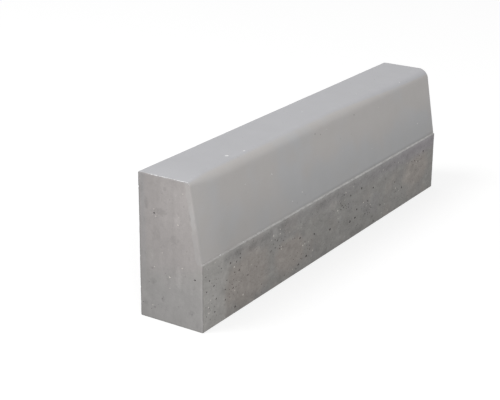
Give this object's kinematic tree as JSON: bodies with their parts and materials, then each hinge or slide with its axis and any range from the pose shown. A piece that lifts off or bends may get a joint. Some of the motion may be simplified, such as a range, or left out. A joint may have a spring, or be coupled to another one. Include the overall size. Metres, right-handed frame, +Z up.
{
  "type": "concrete kerb stone",
  "caption": "Straight cast concrete road kerb stone with an upright lower face, a battered upper face and a rounded nose, for laying end to end along a road edge.",
  "frame": {"origin": "middle of the bed, the flat underside that the kerb is laid on", "axes": "+X along the kerb, -Y the road face, +Y the back, +Z up"},
  "size_m": [1, 0.15, 0.3],
  "materials": {
    "concrete": "cast concrete, smooth above the mould joint and open-pored below it"
  },
  "bodies": {
    "root": {"kerb_stone": "concrete"}
  },
  "joints": []
}
